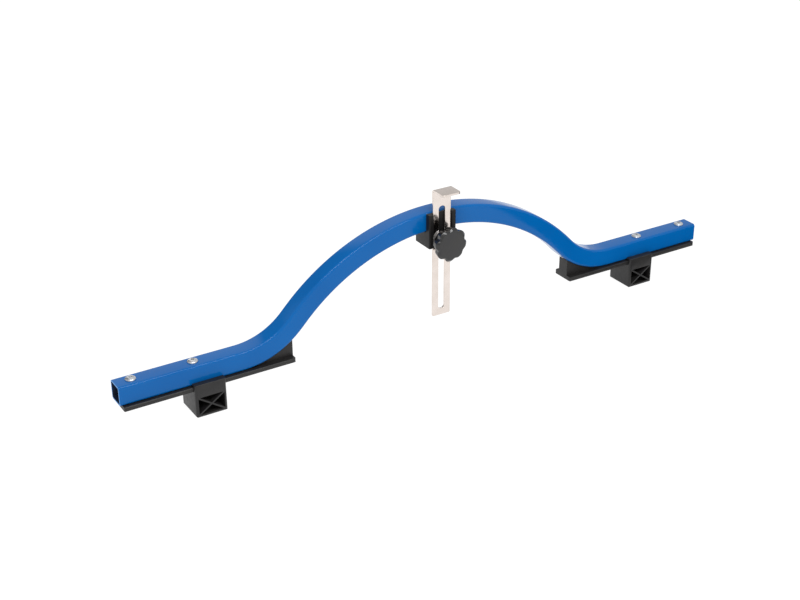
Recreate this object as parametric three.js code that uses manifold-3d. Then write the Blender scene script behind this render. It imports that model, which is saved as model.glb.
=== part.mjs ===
// Wheel dishing gauge: a bent square steel tube that stands on two sliding blocks,
// with a slotted indicator plate clamped at the top of its arch by a star knob.
// Millimetres, +X along the gauge, +Y away from the knob, +Z up.
// The origin is on the surface that the blocks stand on, under the middle of the bounding box.

import * as THREE from 'three';
import { mergeVertices } from 'three/addons/utils/BufferGeometryUtils.js';
import Module from 'manifold-3d';

const wasm = await Module();
wasm.setup();

// Square tube: level tabs, a lower bend, a short ramp and one long upper bend over the middle
const tubeSide = 19.05;
const tubeWall = 1.5;
const tubeCornerRadius = 2.4;
const tabLength = 118.1;
const lowerBendRadius = 78;
const rampLength = 8.7;
const upperBendRadius = 210.5;
const bendAngle = THREE.MathUtils.degToRad(45.5);

// Slide rail under each tab: a flange with a web that fills the wedge under the lower bend
const railWidth = 26;
const railThickness = 4.4;
const railLength = 168.3;
const railEndInset = 2.5;
const railWebWidth = 13;
const railEdgeChamfer = 0.6;
const railCornerRadius = 2;

// Rail fasteners, from the tube's end
const outerScrewInset = 15;
const innerScrewInset = 74;
const railScrewDiameter = 5;
const railScrewHeadDiameter = 10;
const railScrewHeadHeight = 2.6;
const railScrewRecessDepth = 1.4;
const railScrewRecessSpan = 4.6;
const railScrewRecessWidth = 1.1;
const railScrewTipLength = 0.6;
const railNutFlats = 8;
const railNutHeight = 3.8;
const railNutPocketDepth = 3;

// Sliding block: a moulded box under the rail, with a lip hooked over each edge of the flange
const blockLength = 30.6;
const blockFootHeight = 25.5;
const blockLipThickness = 3;
const blockHookHeight = 2.4;
const blockCornerRadius = 2.2;
const blockSoleChamfer = 1;
const blockWall = 2.5;
const blockPocketHeight = 17.6;
const blockPocketCornerRadius = 1.4;
const blockMidWeb = 2.4;
const blockRibThickness = 1.5;
const blockReliefWidth = 11;
const blockReliefDepth = 2.6;
const leftBlockInset = 82.9;
const rightBlockInset = 78.4;

// Guide bracket at the top of the arch
const bracketWidth = 30;
const bracketWall = 2;
const bracketGuideDepth = 4;
const bracketDrop = 16.3;
const bracketTopDrop = 1.1;
const bracketCornerRadius = 1.2;
const bracketScrewSpacing = 20;
const bracketScrewDiameter = 4;
const bracketScrewHeadDiameter = 7;
const bracketScrewHeadHeight = 2.4;
const bracketScrewReach = 3;
const bracketScrewTipLength = 0.6;
const bracketScrewSeatDepth = 9;
const bracketScrewRecessDepth = 1.3;
const bracketScrewRecessSpan = 3.4;
const bracketScrewRecessWidth = 0.9;

// Indicator plate: a slotted strip with its upper end bent towards the knob
const plateWidth = 20;
const plateThickness = 2.05;
const plateHeight = 133;
const plateHang = 80.9;
const plateTabReach = 19.3;
const plateBendRadius = 0.8;
const plateCornerRadius = 1.2;
const slotWidth = 7;
const slotLength = 108.3;
const slotMargin = 6.7;

// Clamp: star knob on a stud, with a washer on the plate and a nut held in the bracket
const studDrop = 9.2;
const studDiameter = 5.8;
const studSetDepth = 12.2;
const studTipLength = 0.8;
const studReach = 0.5;
const clampNutFlats = 10;
const clampNutHeight = 5;
const clampNutInset = 1.5;
const nutBarrelShare = 1.06;
const washerDiameter = 18;
const washerThickness = 1.6;
const knobRadius = 16.5;
const knobLobeHeight = 0.85;
const knobHubDiameter = 13;
const knobHubLength = 7.4;
const knobHeadThickness = 7.4;
const knobDomeHeight = 2.7;
const knobEdgeRadius = 0.9;
const knobRimWall = 2;
const knobSkin = 2.4;
const knobRibThickness = 1.5;
const knobRibInset = 0.8;
const knobDomeShares = [0.3, 0.55, 0.75, 0.9];

// Clearances
const saddleGap = 0.3;
const slideGap = 0.35;
const guideGap = 0.3;
const plateGap = 0.2;
const shankGap = 0.25;
const threadGap = 0.15;
const nutGap = 0.2;
const headGap = 0.4;
const overrun = 1;

// Counts and turns
const knobLobes = 8;
const hexSides = 6;
const nutChamferAngle = THREE.MathUtils.degToRad(30);
const knobTurn = THREE.MathUtils.degToRad(-8.7);
const upperBendSteps = 20;
const lowerBendSteps = 10;
const tubeCornerSteps = 2;
const cornerSteps = 4;
const roundSteps = 24;
const headSteps = 5;
const lobeSteps = 6;
const webSteps = 14;

// Sizes that follow
const tubeHalf = tubeSide / 2;
const tabUnderside = blockFootHeight + slideGap + railThickness;
const tabCentre = tabUnderside + tubeHalf;
const tabTop = tabUnderside + tubeSide;
const bendStart = (lowerBendRadius + upperBendRadius) * Math.sin(bendAngle)
  + rampLength * Math.cos(bendAngle);
const archRise = (lowerBendRadius + upperBendRadius) * (1 - Math.cos(bendAngle))
  + rampLength * Math.sin(bendAngle);
const tubeEnd = bendStart + tabLength;
const crownCentre = tabCentre + archRise;
const crownUnderside = crownCentre - tubeHalf;
const railOuterEnd = tubeEnd - railEndInset;
const railInnerEnd = railOuterEnd - railLength;
const railUnderside = tabUnderside - railThickness;
const blockDepth = railWidth + 2 * (slideGap + blockLipThickness);
const guideFloor = tubeHalf + saddleGap + bracketWall;
const bracketFront = guideFloor + bracketGuideDepth;
const bracketBottom = crownUnderside - bracketDrop;
const bracketTop = crownCentre + tubeHalf - bracketTopDrop;
const plateBack = guideFloor + plateGap;
const plateFront = plateBack + plateThickness;
const studHeight = crownUnderside - studDrop;
const plateBottom = studHeight - plateHang;
const washerFront = plateFront + plateGap + washerThickness;
const knobReach = washerFront + knobHubLength + knobHeadThickness + knobDomeHeight;
const middleOfDepth = (blockDepth / 2 - knobReach) / 2;

// Solids from geometry, and geometry from solids

// Triangles that collapse where two points of an outline coincide are left out
function toSolid(geometry) {
  geometry.deleteAttribute('normal');
  geometry.deleteAttribute('uv');
  const welded = mergeVertices(geometry);
  const corners = welded.index.array;
  const triangles = [];
  for (let start = 0; start < corners.length; start += 3) {
    const [a, b, c] = corners.subarray(start, start + 3);
    if (a !== b && b !== c && c !== a) {
      triangles.push(a, b, c);
    }
  }
  return new wasm.Manifold(new wasm.Mesh({
    numProp: 3,
    vertProperties: new Float32Array(welded.attributes.position.array),
    triVerts: new Uint32Array(triangles),
  }));
}

function toGeometry(solid) {
  const mesh = solid.getMesh();
  const geometry = new THREE.BufferGeometry();
  geometry.setAttribute('position', new THREE.BufferAttribute(mesh.vertProperties, 3));
  geometry.setIndex(new THREE.BufferAttribute(mesh.triVerts, 1));
  const faceted = geometry.toNonIndexed();
  faceted.computeVertexNormals();
  return faceted;
}

// An outline drawn in the YZ plane, carried along X
function alongX(outline, from, to) {
  const geometry = new THREE.ExtrudeGeometry(outline, { depth: to - from, bevelEnabled: false });
  geometry.applyMatrix4(new THREE.Matrix4().makeBasis(
    new THREE.Vector3(0, 1, 0), new THREE.Vector3(0, 0, 1), new THREE.Vector3(1, 0, 0)));
  geometry.translate(from, 0, 0);
  return toSolid(geometry);
}

// An outline drawn in the XZ plane, carried along Y
function alongY(outline, from, to) {
  const geometry = new THREE.ExtrudeGeometry(outline, { depth: to - from, bevelEnabled: false });
  geometry.applyMatrix4(new THREE.Matrix4().makeBasis(
    new THREE.Vector3(1, 0, 0), new THREE.Vector3(0, 0, 1), new THREE.Vector3(0, -1, 0)));
  geometry.translate(0, to, 0);
  return toSolid(geometry);
}

// An outline drawn in the XY plane, carried along Z
function alongZ(outline, from, to) {
  const geometry = new THREE.ExtrudeGeometry(outline, { depth: to - from, bevelEnabled: false });
  geometry.translate(0, 0, from);
  return toSolid(geometry);
}

// A polygon with a rounded corner at each point that has a radius, given as [a, b, radius]
function outlineOf(corners) {
  const points = [];
  corners.forEach(([a, b, radius = 0], index) => {
    const corner = new THREE.Vector2(a, b);
    if (radius <= 0) {
      points.push(corner);
      return;
    }
    const before = corners[(index + corners.length - 1) % corners.length];
    const after = corners[(index + 1) % corners.length];
    const inward = new THREE.Vector2(before[0], before[1]).sub(corner).normalize();
    const outward = new THREE.Vector2(after[0], after[1]).sub(corner).normalize();
    const halfAngle = Math.acos(THREE.MathUtils.clamp(inward.dot(outward), -1, 1)) / 2;
    const bisector = inward.clone().add(outward).normalize();
    const centre = corner.clone().addScaledVector(bisector, radius / Math.sin(halfAngle));
    const first = corner.clone().addScaledVector(inward, radius / Math.tan(halfAngle)).sub(centre);
    const last = corner.clone().addScaledVector(outward, radius / Math.tan(halfAngle)).sub(centre);
    const sweep = Math.atan2(first.cross(last), first.dot(last));
    for (let step = 0; step <= cornerSteps; step += 1) {
      const turned = first.clone().rotateAround(new THREE.Vector2(0, 0), sweep * step / cornerSteps);
      points.push(turned.add(centre));
    }
  });
  return new THREE.Shape(points);
}

function rectangle(low, high, radius = 0) {
  return outlineOf([
    [low[0], low[1], radius], [high[0], low[1], radius],
    [high[0], high[1], radius], [low[0], high[1], radius],
  ]);
}

// A round bar between two heights, upright unless it is laid along Y
function roundBar(radius, from, to, sides = roundSteps) {
  const geometry = new THREE.CylinderGeometry(radius, radius, to - from, sides);
  geometry.rotateX(Math.PI / 2);
  geometry.translate(0, 0, (from + to) / 2);
  return toSolid(geometry);
}

function laidAlongY(solid) {
  return solid.rotate([90, 0, 0]);
}

// A turned piece about Z from a closed profile of [radius, height] points
function turned(profile, sides = roundSteps) {
  const points = profile.map(([radius, height]) => new THREE.Vector2(radius, height));
  const geometry = new THREE.LatheGeometry(points, sides);
  geometry.rotateX(Math.PI / 2);
  return toSolid(geometry);
}

const hexRadius = (flats) => flats / Math.sqrt(3);

// The tube's middle line

// Stations from the middle of the arch to the right-hand end, each with its slope
function rightHalfStations() {
  const stations = [];
  for (let step = 0; step <= upperBendSteps; step += 1) {
    const angle = bendAngle * step / upperBendSteps;
    stations.push({
      x: upperBendRadius * Math.sin(angle),
      z: crownCentre - upperBendRadius * (1 - Math.cos(angle)),
      slope: -angle,
    });
  }
  for (let step = lowerBendSteps; step >= 0; step -= 1) {
    const angle = bendAngle * step / lowerBendSteps;
    stations.push({
      x: bendStart - lowerBendRadius * Math.sin(angle),
      z: tabCentre + lowerBendRadius * (1 - Math.cos(angle)),
      slope: -angle,
    });
  }
  stations.push({ x: tubeEnd, z: tabCentre, slope: 0 });
  return stations;
}

function allStations() {
  const right = rightHalfStations();
  const left = right.slice(1).reverse().map(({ x, z, slope }) => ({ x: -x, z, slope: -slope }));
  return [...left, ...right];
}

// Height of the tube's underside at a distance from the middle, less a gap
function undersideAt(x, gap) {
  const far = lowerBendRadius + tubeHalf + gap;
  const near = upperBendRadius - tubeHalf - gap;
  if (x >= bendStart) {
    return tabUnderside - gap;
  }
  if (bendStart - x <= far * Math.sin(bendAngle)) {
    return tabCentre + lowerBendRadius - Math.sqrt(far ** 2 - (bendStart - x) ** 2);
  }
  if (x <= near * Math.sin(bendAngle)) {
    return crownCentre - upperBendRadius + Math.sqrt(near ** 2 - x ** 2);
  }
  const rampStart = near * Math.sin(bendAngle);
  return crownCentre - upperBendRadius + near * Math.cos(bendAngle)
    - (x - rampStart) * Math.tan(bendAngle);
}

// Square tube swept through the stations

function roundedSquare(half, radius) {
  const points = [];
  for (let corner = 0; corner < 4; corner += 1) {
    const turn = corner * Math.PI / 2;
    const centre = new THREE.Vector2(half - radius, half - radius)
      .rotateAround(new THREE.Vector2(0, 0), turn);
    for (let step = 0; step <= tubeCornerSteps; step += 1) {
      const angle = turn + Math.PI / 2 * step / tubeCornerSteps;
      points.push([centre.x + radius * Math.cos(angle), centre.y + radius * Math.sin(angle)]);
    }
  }
  return points;
}

function sweptTube() {
  const stations = allStations();
  const outer = roundedSquare(tubeHalf, tubeCornerRadius);
  const inner = roundedSquare(tubeHalf - tubeWall, Math.max(tubeCornerRadius - tubeWall, 0));
  const count = outer.length;
  const positions = [];
  for (const { x, z, slope } of stations) {
    for (const [across, up] of [...outer, ...inner]) {
      positions.push(x - Math.sin(slope) * up, across, z + Math.cos(slope) * up);
    }
  }
  const indices = [];
  const quad = (a, b, c, d) => indices.push(a, b, c, a, c, d);
  for (let ring = 0; ring < stations.length; ring += 1) {
    const start = ring * 2 * count;
    const next = start + 2 * count;
    for (let point = 0; point < count; point += 1) {
      const after = (point + 1) % count;
      if (ring + 1 < stations.length) {
        quad(start + point, start + after, next + after, next + point);
        quad(start + count + point, next + count + point, next + count + after, start + count + after);
      }
      if (ring === 0) {
        quad(start + point, start + count + point, start + count + after, start + after);
      }
      if (ring + 1 === stations.length) {
        quad(start + point, start + after, start + count + after, start + count + point);
      }
    }
  }
  const geometry = new THREE.BufferGeometry();
  geometry.setAttribute('position', new THREE.Float32BufferAttribute(positions, 3));
  geometry.setIndex(indices);
  return toSolid(geometry);
}

const screwPlaces = [
  { side: 'left', place: 'outer', x: -(tubeEnd - outerScrewInset) },
  { side: 'left', place: 'inner', x: -(tubeEnd - innerScrewInset) },
  { side: 'right', place: 'inner', x: tubeEnd - innerScrewInset },
  { side: 'right', place: 'outer', x: tubeEnd - outerScrewInset },
];

function archTube() {
  let tube = sweptTube();
  const screwHole = roundBar(railScrewDiameter / 2 + shankGap, tabUnderside - overrun, tabTop + overrun);
  for (const { x } of screwPlaces) {
    tube = tube.subtract(screwHole.translate([x, 0, 0]));
  }
  const bracketHole = roundBar(bracketScrewDiameter / 2 + threadGap,
    crownUnderside - tubeWall, crownUnderside + tubeWall + overrun);
  for (const side of [-1, 1]) {
    tube = tube.subtract(bracketHole.translate([side * bracketScrewSpacing / 2, 0, 0]));
  }
  return tube;
}

// Slide rail for the right-hand tab; the left-hand one is the same piece turned round

function slideRail() {
  const half = railWidth / 2;
  const flange = alongX(outlineOf([
    [-half + railEdgeChamfer, railUnderside], [half - railEdgeChamfer, railUnderside],
    [half, railUnderside + railEdgeChamfer], [half, tabUnderside - railEdgeChamfer],
    [half - railEdgeChamfer, tabUnderside], [-half + railEdgeChamfer, tabUnderside],
    [-half, tabUnderside - railEdgeChamfer], [-half, railUnderside + railEdgeChamfer],
  ]), railInnerEnd, railOuterEnd);
  const plan = alongZ(
    rectangle([railInnerEnd, -half], [railOuterEnd, half], railCornerRadius),
    railUnderside - overrun, tabUnderside + overrun);
  const webTop = [];
  for (let step = 0; step <= webSteps; step += 1) {
    const x = railInnerEnd + (bendStart - railInnerEnd) * step / webSteps;
    webTop.push([x, undersideAt(x, saddleGap)]);
  }
  const web = alongY(outlineOf([
    ...webTop,
    [bendStart, tabUnderside - railThickness / 2], [railInnerEnd, tabUnderside - railThickness / 2],
  ]), -railWebWidth / 2, railWebWidth / 2);
  let rail = flange.intersect(plan).add(web);
  const shankHole = roundBar(railScrewDiameter / 2 + shankGap, railUnderside - overrun, tabUnderside + overrun);
  const nutPocket = roundBar(hexRadius(railNutFlats + 2 * nutGap),
    railUnderside - overrun, railUnderside + railNutPocketDepth, hexSides);
  for (const inset of [outerScrewInset, innerScrewInset]) {
    rail = rail.subtract(shankHole.translate([tubeEnd - inset, 0, 0]));
    rail = rail.subtract(nutPocket.translate([tubeEnd - inset, 0, 0]));
  }
  return rail;
}

// Domed screw with a cross recess, its head seated at height 0 and its shank below

function crossScrew({ diameter, headDiameter, headHeight, length, tip, recessDepth, recessSpan, recessWidth }) {
  const headRadius = headDiameter / 2;
  const profile = [[0, headHeight]];
  for (let step = 1; step <= headSteps; step += 1) {
    const angle = Math.PI / 2 * step / headSteps;
    profile.push([headRadius * Math.sin(angle), headHeight * Math.cos(angle)]);
  }
  profile.push([diameter / 2, 0], [diameter / 2, tip - length], [diameter / 2 - tip, -length], [0, -length]);
  let screw = turned(profile.reverse());
  for (const turn of [0, 90]) {
    const slot = alongZ(
      rectangle([-recessSpan / 2, -recessWidth / 2], [recessSpan / 2, recessWidth / 2]),
      headHeight - recessDepth, headHeight + overrun);
    screw = screw.subtract(slot.rotate([0, 0, turn + 45]));
  }
  return screw;
}

function railScrew() {
  return crossScrew({
    diameter: railScrewDiameter,
    headDiameter: railScrewHeadDiameter,
    headHeight: railScrewHeadHeight,
    length: tabTop - railUnderside - railNutPocketDepth + railNutHeight + railScrewTipLength,
    tip: railScrewTipLength,
    recessDepth: railScrewRecessDepth,
    recessSpan: railScrewRecessSpan,
    recessWidth: railScrewRecessWidth,
  });
}

// Hexagon nut with its lower face at height 0

function hexNut(flats, height, boltDiameter) {
  const barrelRadius = hexRadius(flats) * nutBarrelShare;
  const chamfer = (barrelRadius - flats / 2) * Math.tan(nutChamferAngle);
  const barrel = turned([
    [0, 0], [flats / 2, 0], [barrelRadius, chamfer],
    [barrelRadius, height - chamfer], [flats / 2, height], [0, height],
  ]);
  return roundBar(hexRadius(flats), 0, height, hexSides)
    .intersect(barrel)
    .subtract(roundBar(boltDiameter / 2 + threadGap, -overrun, height + overrun));
}

// Sliding block about its own middle, standing on height 0

function slidingBlock() {
  const halfDepth = blockDepth / 2;
  const halfLength = blockLength / 2;
  const channelHalf = railWidth / 2 + slideGap;
  const hookHalf = tubeHalf + headGap;
  const hookUnderside = tabUnderside + slideGap;
  const hookTop = hookUnderside + blockHookHeight;
  const reliefHalf = blockReliefWidth / 2;
  const side = alongX(outlineOf([
    [-halfDepth, blockSoleChamfer], [-halfDepth + blockSoleChamfer, 0],
    [halfDepth - blockSoleChamfer, 0], [halfDepth, blockSoleChamfer],
    [halfDepth, hookTop, blockSoleChamfer], [hookHalf, hookTop], [hookHalf, hookUnderside],
    [channelHalf, hookUnderside], [channelHalf, blockFootHeight],
    [reliefHalf, blockFootHeight], [reliefHalf, blockFootHeight - blockReliefDepth],
    [-reliefHalf, blockFootHeight - blockReliefDepth], [-reliefHalf, blockFootHeight],
    [-channelHalf, blockFootHeight], [-channelHalf, hookUnderside],
    [-hookHalf, hookUnderside], [-hookHalf, hookTop], [-halfDepth, hookTop, blockSoleChamfer],
  ]), -halfLength, halfLength);
  const plan = alongZ(
    rectangle([-halfLength, -halfDepth], [halfLength, halfDepth], blockCornerRadius),
    -overrun, hookTop + overrun);
  const front = alongY(outlineOf([
    [-halfLength, blockSoleChamfer], [-halfLength + blockSoleChamfer, 0],
    [halfLength - blockSoleChamfer, 0], [halfLength, blockSoleChamfer],
    [halfLength, hookTop], [-halfLength, hookTop],
  ]), -halfDepth - overrun, halfDepth + overrun);
  const pocketHalf = halfLength - blockWall;
  const pocketTop = blockWall + blockPocketHeight;
  const pocket = rectangle([-pocketHalf, blockWall], [pocketHalf, pocketTop], blockPocketCornerRadius);
  const cross = crossRibs(pocketHalf, blockWall, pocketTop);
  let block = side.intersect(plan).intersect(front);
  for (const [from, to] of [[-halfDepth - overrun, -blockMidWeb / 2], [blockMidWeb / 2, halfDepth + overrun]]) {
    block = block.subtract(alongY(pocket, from, to).subtract(cross(from, to)));
  }
  return block;
}

// Two ribs that cross from corner to corner of a pocket
function crossRibs(half, low, high) {
  const rise = high - low;
  const reach = Math.hypot(2 * half, rise) / 2 + blockWall / 2;
  const lean = Math.atan2(rise, 2 * half);
  return (from, to) => {
    const bar = alongY(
      rectangle([-reach, -blockRibThickness / 2], [reach, blockRibThickness / 2]), from, to);
    const tilted = (angle) => bar.rotate([0, angle, 0]).translate([0, 0, (low + high) / 2]);
    const degrees = THREE.MathUtils.radToDeg(lean);
    return tilted(degrees).add(tilted(-degrees));
  };
}

// Guide bracket: a saddle under the tube and a wall in front of it with a channel for the plate

function guideBracket() {
  const half = bracketWidth / 2;
  const channelHalf = plateWidth / 2 + guideGap;
  const plan = outlineOf([
    [-half, -bracketFront, bracketCornerRadius], [-channelHalf, -bracketFront],
    [-channelHalf, -guideFloor], [channelHalf, -guideFloor],
    [channelHalf, -bracketFront], [half, -bracketFront, bracketCornerRadius],
    [half, tubeHalf, bracketCornerRadius], [-half, tubeHalf, bracketCornerRadius],
  ]);
  const saddle = [];
  for (let step = 0; step <= webSteps; step += 1) {
    const x = -half - overrun + (bracketWidth + 2 * overrun) * step / webSteps;
    saddle.push([x, undersideAt(Math.abs(x), saddleGap)]);
  }
  const tubeSpace = alongY(outlineOf([
    ...saddle, [half + overrun, bracketTop + overrun], [-half - overrun, bracketTop + overrun],
  ]), -tubeHalf - saddleGap, tubeHalf + overrun);
  let bracket = alongZ(plan, bracketBottom, bracketTop).subtract(tubeSpace);
  const studHole = laidAlongY(roundBar(studDiameter / 2 + shankGap, -tubeHalf - overrun, bracketFront + overrun));
  const nutPocket = laidAlongY(roundBar(hexRadius(clampNutFlats + 2 * nutGap),
    -tubeHalf - overrun, clampNutHeight + clampNutInset - tubeHalf, hexSides));
  bracket = bracket.subtract(studHole.translate([0, 0, studHeight]));
  bracket = bracket.subtract(nutPocket.translate([0, 0, studHeight]));
  const shankHole = roundBar(bracketScrewDiameter / 2 + shankGap, bracketBottom, crownUnderside + overrun);
  const headHole = roundBar(bracketScrewHeadDiameter / 2 + headGap,
    bracketBottom - overrun, bracketBottom + bracketScrewSeatDepth);
  for (const side of [-1, 1]) {
    bracket = bracket.subtract(shankHole.translate([side * bracketScrewSpacing / 2, 0, 0]));
    bracket = bracket.subtract(headHole.translate([side * bracketScrewSpacing / 2, 0, 0]));
  }
  return bracket;
}

function bracketScrew() {
  const length = bracketDrop - bracketScrewSeatDepth + tubeWall + bracketScrewReach;
  return crossScrew({
    diameter: bracketScrewDiameter,
    headDiameter: bracketScrewHeadDiameter,
    headHeight: bracketScrewHeadHeight,
    length,
    tip: bracketScrewTipLength,
    recessDepth: bracketScrewRecessDepth,
    recessSpan: bracketScrewRecessSpan,
    recessWidth: bracketScrewRecessWidth,
  }).rotate([180, 0, 0]);
}

// Indicator plate with its lower end at height 0

function indicatorPlate() {
  const half = plateWidth / 2;
  const strip = alongX(outlineOf([
    [-plateBack, 0], [-plateBack, plateHeight, plateThickness + plateBendRadius],
    [-plateBack - plateTabReach, plateHeight],
    [-plateBack - plateTabReach, plateHeight - plateThickness],
    [-plateFront, plateHeight - plateThickness, plateBendRadius], [-plateFront, 0],
  ]), -half, half);
  const face = alongY(
    rectangle([-half, 0], [half, plateHeight + plateCornerRadius], plateCornerRadius),
    -plateBack - plateTabReach - overrun, -plateBack + overrun);
  const plan = alongZ(
    rectangle([-half, -plateBack - plateTabReach], [half, plateTabReach], 2 * plateCornerRadius),
    -overrun, plateHeight + overrun);
  const slot = alongY(
    rectangle([-slotWidth / 2, slotMargin], [slotWidth / 2, slotMargin + slotLength], slotWidth / 2),
    -plateFront - overrun, -plateBack + overrun);
  return strip.intersect(face).intersect(plan).subtract(slot);
}

// Star knob, built along Z from its seat at height 0 and laid forwards when it is placed:
// rings of [radius, lobe height, level] from the middle of the front to the bottom of the bore
function knobRings() {
  const rimFront = knobHubLength + knobHeadThickness;
  const boreRadius = studDiameter / 2 + threadGap;
  const rings = [];
  for (const share of knobDomeShares) {
    rings.push([
      (knobRadius - knobEdgeRadius) * share,
      knobLobeHeight * share ** 4,
      rimFront + knobDomeHeight * (1 - share ** 2),
    ]);
  }
  rings.push(
    [knobRadius - knobEdgeRadius, knobLobeHeight, rimFront],
    [knobRadius, knobLobeHeight, rimFront - knobEdgeRadius],
    [knobRadius, knobLobeHeight, knobHubLength + knobEdgeRadius],
    [knobRadius - knobEdgeRadius, knobLobeHeight, knobHubLength],
    [knobRadius - knobRimWall, knobLobeHeight, knobHubLength],
    [knobRadius - knobRimWall, knobLobeHeight, rimFront - knobSkin],
    [knobHubDiameter / 2, 0, rimFront - knobSkin],
    [knobHubDiameter / 2, 0, 0],
    [boreRadius, 0, 0],
    [boreRadius, 0, studSetDepth + threadGap],
  );
  return rings;
}

function starKnob() {
  const rings = knobRings();
  const sides = knobLobes * lobeSteps;
  const positions = [0, 0, knobHubLength + knobHeadThickness + knobDomeHeight];
  for (const [radius, lobe, level] of rings) {
    for (let side = 0; side < sides; side += 1) {
      const angle = 2 * Math.PI * side / sides;
      const reach = radius + lobe * Math.cos(knobLobes * angle);
      positions.push(reach * Math.cos(angle), reach * Math.sin(angle), level);
    }
  }
  positions.push(0, 0, studSetDepth + threadGap);
  const last = positions.length / 3 - 1;
  const indices = [];
  for (let side = 0; side < sides; side += 1) {
    const after = (side + 1) % sides;
    indices.push(0, 1 + side, 1 + after);
    for (let ring = 0; ring + 1 < rings.length; ring += 1) {
      const here = 1 + ring * sides;
      const next = here + sides;
      indices.push(here + side, next + side, next + after, here + side, next + after, here + after);
    }
    const bottom = last - sides;
    indices.push(bottom + side, last, bottom + after);
  }
  const geometry = new THREE.BufferGeometry();
  geometry.setAttribute('position', new THREE.Float32BufferAttribute(positions, 3));
  geometry.setIndex(indices);
  let knob = toSolid(geometry);
  const ribStart = (studDiameter + knobHubDiameter) / 4;
  const ribEnd = knobRadius - knobLobeHeight - knobRimWall / 2;
  const rib = alongZ(
    rectangle([ribStart, -knobRibThickness / 2], [ribEnd, knobRibThickness / 2]),
    knobHubLength + knobRibInset, knobHubLength + knobHeadThickness - knobSkin / 2);
  for (let lobe = 0; lobe < knobLobes; lobe += 1) {
    knob = knob.add(rib.rotate([0, 0, (lobe + 1 / 2) * 360 / knobLobes]));
  }
  return knob;
}

function knobStud() {
  const radius = studDiameter / 2;
  const nutFace = clampNutInset - tubeHalf;
  const back = nutFace - studReach;
  return turned([
    [0, back], [radius - studTipLength, back], [radius, back + studTipLength],
    [radius, washerFront + studSetDepth], [0, washerFront + studSetDepth],
  ]);
}

function clampWasher() {
  const from = washerFront - washerThickness;
  const ring = roundBar(washerDiameter / 2, from, washerFront, 2 * roundSteps);
  return ring.subtract(roundBar(studDiameter / 2 + shankGap, from - overrun, washerFront + overrun));
}

// Finishes

const finish = (color, roughness, metalness) => ({ color, roughness, metalness });
const bluePowderCoat = finish(0x1f5fa6, 0.35, 0);
const blackNylon = finish(0x2b2b2d, 0.55, 0);
const nickelledSteel = finish(0xd9cfc6, 0.22, 1);
const zincSteel = finish(0xc4c8cc, 0.3, 1);

const pieces = new THREE.Group();

function addPiece(name, solid, look, place = {}) {
  const mesh = new THREE.Mesh(toGeometry(solid), new THREE.MeshStandardMaterial(look));
  mesh.name = name;
  mesh.position.set(place.x ?? 0, place.y ?? 0, place.z ?? 0);
  mesh.rotation.set(place.turnX ?? 0, 0, place.turnZ ?? 0);
  pieces.add(mesh);
}

// Frame: tube, rails and what fastens them

addPiece('arch_tube', archTube(), bluePowderCoat);
addPiece('left_rail', slideRail(), blackNylon, { turnZ: Math.PI });
addPiece('right_rail', slideRail(), blackNylon);
for (const { side, place, x } of screwPlaces) {
  addPiece(`${side}_${place}_rail_screw`, railScrew(), zincSteel, { x, z: tabTop });
  addPiece(`${side}_${place}_rail_nut`, hexNut(railNutFlats, railNutHeight, railScrewDiameter), zincSteel,
    { x, z: railUnderside + railNutPocketDepth - railNutHeight });
}

// Sliding blocks where the photograph has them

addPiece('left_block', slidingBlock(), blackNylon, { x: -(tubeEnd - leftBlockInset) });
addPiece('right_block', slidingBlock(), blackNylon, { x: tubeEnd - rightBlockInset });

// Indicator and its clamp

addPiece('guide_bracket', guideBracket(), blackNylon);
for (const [side, sign] of [['left', -1], ['right', 1]]) {
  addPiece(`${side}_bracket_screw`, bracketScrew(), zincSteel,
    { x: sign * bracketScrewSpacing / 2, z: bracketBottom + bracketScrewSeatDepth });
}
addPiece('indicator_plate', indicatorPlate(), nickelledSteel, { z: plateBottom });
addPiece('clamp_nut', laidAlongY(hexNut(clampNutFlats, clampNutHeight, studDiameter)
  .translate([0, 0, clampNutInset - tubeHalf])), zincSteel, { z: studHeight });
addPiece('knob_washer', laidAlongY(clampWasher()), zincSteel, { z: studHeight });
addPiece('knob_stud', laidAlongY(knobStud()), zincSteel, { z: studHeight });
addPiece('star_knob', laidAlongY(starKnob().rotate([0, 0, THREE.MathUtils.radToDeg(knobTurn)])
  .translate([0, 0, washerFront])), blackNylon, { z: studHeight });

pieces.position.y = -middleOfDepth;

const gauge = new THREE.Group();
gauge.add(pieces);

export default gauge;
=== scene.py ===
"""Looks of the wheel dishing gauge, made around its fixed frame.

Lengths are in metres, in the frame's axes: +X along the gauge, +Y away from the knob, +Z up.
Each operator makes one piece, or one group of like pieces, and main() calls them in order.
"""

import math

import bmesh
import bpy
from mathutils import Matrix, Vector


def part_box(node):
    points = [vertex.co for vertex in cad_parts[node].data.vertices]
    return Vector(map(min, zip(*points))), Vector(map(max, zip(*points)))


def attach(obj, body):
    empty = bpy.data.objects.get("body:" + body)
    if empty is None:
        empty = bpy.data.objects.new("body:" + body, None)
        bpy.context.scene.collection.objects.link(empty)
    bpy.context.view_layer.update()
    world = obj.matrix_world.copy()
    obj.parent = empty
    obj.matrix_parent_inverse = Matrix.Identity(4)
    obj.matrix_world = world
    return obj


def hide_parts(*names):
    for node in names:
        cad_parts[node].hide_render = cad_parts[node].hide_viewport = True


bl_info = {
    "name": "Wheel Dishing Gauge",
    "version": (1, 0, 0),
    "blender": (4, 5, 0),
    "location": "View3D > Sidebar > Gauge",
    "description": "Dresses the wheel dishing gauge and sets its stage",
    "category": "Object",
}

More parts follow.
